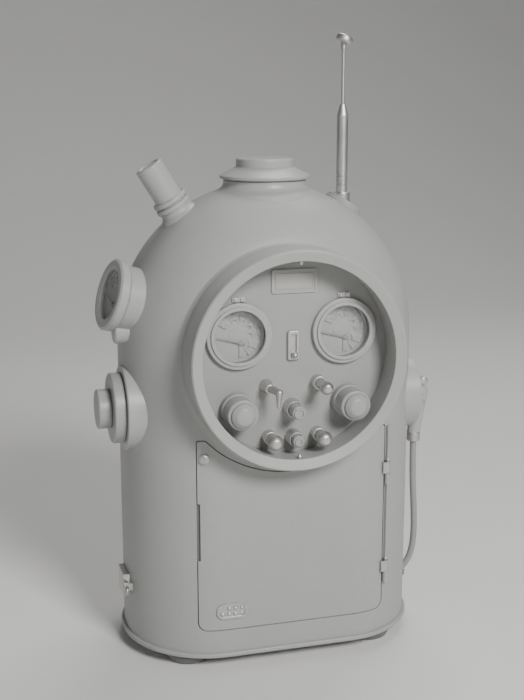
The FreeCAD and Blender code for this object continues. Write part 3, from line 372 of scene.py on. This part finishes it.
def between(value, low, high, blur):
    """One inside a range and zero outside it, with smooth sides."""
    return step(value, low, blur) * (1 - step(value, high, blur))


def dial_height(radius, clock, size, tall):
    """The dial's relief, at most as high as tall, for a radius and a clockwise angle from the top.

    The scale is a wide band with a groove along it. One cosine of the angle and the radius cuts
    it into blocks with leaning sides, a second one makes every other block lower, and a third
    moves the band's inner edge in and out. The bridge is a plain upright bar.
    """
    turn = np.radians(clock)
    swept = between(clock, scale_start, scale_end, 4)
    blocks = 0.30 + 0.70 * step(np.cos(turn * 10 + radius / size * 5), -0.15, 0.5)
    lower = 0.60 + 0.40 * step(np.cos(turn * 5), 0.0, 0.6)
    inner = (0.48 + 0.08 * np.cos(turn * 10 + 2)) * size
    scale = step(radius, inner, 0.9 * mm) * (1 - step(radius, 0.90 * size, 0.9 * mm))
    scale = scale * swept * blocks * lower
    groove = 1 - 0.55 * between(radius, 0.70 * size, 0.76 * size, 0.6 * mm)
    rim = between(radius, 0.945 * size, 1.2 * size, 0.4 * mm)
    x, z = radius * np.sin(turn), radius * np.cos(turn)
    bridge = between(x, 1.3 * mm, 4.7 * mm, 0.6 * mm) * between(z, -0.84 * size, -9 * mm, 0.8 * mm)
    plain = between(radius, -1, 0.30 * size, 0.8 * mm) * 0.18
    return tall * np.maximum.reduce([scale * groove, 0.6 * rim, 0.8 * bridge, plain])


# %% Dials as closed discs
def dial_mesh(size, tall, rings=72, turns=360):
    """One dial about +Z: rings of points on the relief, an edge, a back, and a pole each side."""
    radius = np.linspace(0, size, rings + 1)[1:, None]
    clock = np.linspace(-180, 180, turns, endpoint=False)[None, :]
    height = dial_height(radius + 0 * clock, clock + 0 * radius, size, tall)
    radius = np.concatenate([radius, [[size], [0.5 * size]]])
    height = np.concatenate([height, np.full((2, turns), -dial_thickness)])
    across = radius * np.sin(np.radians(clock))
    up = radius * np.cos(np.radians(clock))
    points = np.stack([across, up, height], axis=-1)
    faces = grid_faces(rings + 2, turns)
    top, back = (rings + 2) * turns, (rings + 2) * turns + 1
    after = (np.arange(turns) + 1) % turns
    last = (rings + 1) * turns
    faces += [[top, int(b), j] for j, b in enumerate(after)]
    faces += [[back, last + j, last + int(b)] for j, b in enumerate(after)]
    middle = float(dial_height(np.zeros(1), np.zeros(1), size, tall)[0])
    points = np.concatenate([points.reshape(-1, 3), [[0, 0, middle], [0, 0, -dial_thickness]]])
    return points, faces


def stood(points, centre, out):
    """Turn a flat piece so that +Z points out and +Y stays near up, and put it at its centre."""
    out = Vector(out).normalized()
    side = Vector((0, 0, 1)).cross(out).normalized()
    up = out.cross(side)
    return points @ np.array([side, up, out]) + np.array(centre)


plate_depth = 1.0 * mm                  # of the ready-made dial that this one stands for
panel_dial_relief = 1.5 * mm
dial_low, dial_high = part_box("gauge_dials")
dial_size = (dial_high.z - dial_low.z) / 2
dial_points, dial_faces = dial_mesh(dial_size, panel_dial_relief)
face_y = dial_high.y - plate_depth
pair = [stood(dial_points, (sx * gauge_x, face_y, gauge_z), (0, -1, 0)) for sx in (-1, 1)]
both_faces = dial_faces + [[i + len(dial_points) for i in face] for face in dial_faces]
dials = piece("dial_reliefs", np.concatenate(pair), both_faces, "cabinet", finishes["dial_paint"])
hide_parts("gauge_dials")

# %% The side gauge's dial
# This gauge stands square to the dome. Its way out rises by the lean, and turns towards the front
# by as much as the skin does at the gauge's distance in front of the middle. Its dial lies at a
# fixed depth behind the middle of its glass.
lean = math.radians(16.5)
side_forward = 15 * mm
side_depth = (2.55 + 0.7) * mm
side_dial_size = 21.4 * mm
side_dial_relief = 1.3 * mm
turn = math.asin((side_forward - (half_depth - corner_radius)) / corner_radius)
side_out = Vector((-math.cos(lean) * math.cos(turn), -math.sin(turn), math.sin(lean) * math.cos(turn)))
side_low, side_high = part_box("side_gauge_glass")
side_middle = (side_low + side_high) / 2 - side_out * side_depth
side_points, side_faces = dial_mesh(side_dial_size, side_dial_relief)
side_dial = piece("side_dial_relief", stood(side_points, side_middle, side_out), side_faces, "cabinet",
                  finishes["dial_paint"])
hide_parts("side_gauge_dial")

# %% [markdown]
# ## Camera, floor and light
# The camera stands a little left of the front and a little above the set. The floor curves up
# behind it like a studio's paper sweep, so no horizon cuts across. The key light is high in front
# and to the right, which leaves the left side in soft shade and shows how the cabinet turns.

# %% Camera
ring_middle = Vector((0, lip_y, ring_z))
camera_data = bpy.data.cameras.new("camera")
camera_data.lens = 60.7
camera = bpy.data.objects.new("camera", camera_data)
bpy.context.scene.collection.objects.link(camera)
camera.location = ring_middle + Vector((-0.2698, -0.8263, 0.2042))
aim = Vector((0.2699, 0.9379, -0.2181))
camera.rotation_mode = "QUATERNION"
camera.rotation_quaternion = aim.to_track_quat("-Z", "Y")
bpy.context.scene.camera = camera

# %% Floor and room
def sweep_points(width, front, bend, radius, height):
    """A strip that runs back along the floor, turns up through a quarter circle, and rises."""
    turn = np.linspace(0, np.pi / 2, 24)
    y = np.concatenate([[front], bend + radius * np.sin(turn), [bend + radius]])
    z = np.concatenate([[0], radius - radius * np.cos(turn), [height]])
    x = np.array([-width, width])[:, None]
    return np.stack([x + 0 * y, y + 0 * x, z + 0 * x], axis=-1)


sweep = sweep_points(6.0, -4.0, 1.3, 1.6, 5.0)
count = sweep.shape[1]
floor_mesh = bpy.data.meshes.new("floor")
floor_mesh.from_pydata(sweep.reshape(-1, 3).tolist(), [],
                       [(i, count + i, count + i + 1, i + 1) for i in range(count - 1)])
floor_mesh.shade_smooth()
floor_mesh.materials.append(coated("studio_floor", "e4e3e0", "dfdedb", 3.0, 0.0, 0.8))
floor = bpy.data.objects.new("floor", floor_mesh)
bpy.context.scene.collection.objects.link(floor)
room = bpy.data.worlds.new("room")
bpy.context.scene.world = room
room.use_nodes = True
room.node_tree.nodes["Background"].inputs["Color"].default_value = linear("e6e8ea")
room.node_tree.nodes["Background"].inputs["Strength"].default_value = 0.16


# %% Lights
def soft_light(name, place, target, width, watts):
    """A square softbox at a place, turned to face a target."""
    data = bpy.data.lights.new(name, "AREA")
    data.shape = "SQUARE"
    data.size = width
    data.energy = watts
    lamp = bpy.data.objects.new(name, data)
    bpy.context.scene.collection.objects.link(lamp)
    lamp.location = place
    lamp.rotation_mode = "QUATERNION"
    lamp.rotation_quaternion = (Vector(target) - Vector(place)).to_track_quat("-Z", "Y")
    return lamp


middle = (cad_box[0] + cad_box[1]) / 2
soft_light("key", (0.45, -1.75, 1.35), middle, 0.6, 47)
soft_light("fill", (-1.6, -1.3, 0.9), middle, 1.2, 3)
soft_light("back", (0.5, 0.7, 1.9), middle, 0.9, 16)
print("camera and three lights")

# %% [markdown]
# ## The cable
# The cable leaves the plug's nut straight down, hangs beside the cabinet and turns in to its
# gland. A smooth curve with a round section follows a few control points, the first and last of
# which lie on the axes of the nut and of the gland.

# %% The cable
route = [
    (131.0, -15.0, 160.0), (131.0, -15.0, 130.0), (133.6, -14.4, 99.0), (134.9, -13.4, 73.0),
    (133.4, -12.2, 55.5), (128.5, -11.6, 44.4), (120.5, -10.8, 36.2),
]
route = np.array(route) * mm


def cable_curve(points, radius):
    """A smooth NURBS line with the points as its control points, and a round section."""
    curve = bpy.data.curves.new("cable_line", "CURVE")
    curve.dimensions = "3D"
    curve.bevel_depth = radius
    curve.bevel_resolution = 6
    curve.resolution_u = 16
    curve.use_fill_caps = True
    spline = curve.splines.new("NURBS")
    spline.points.add(len(points) - 1)
    spline.points.foreach_set("co", np.c_[points, np.ones(len(points))].ravel())
    spline.order_u = 3
    spline.use_endpoint_u = True
    curve.materials.append(finishes["cable_sheath"])
    made = bpy.data.objects.new("cable_line", curve)
    bpy.context.scene.collection.objects.link(made)
    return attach(made, "cabinet")


cable = cable_curve(route, 2.8 * mm)
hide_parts("cable")
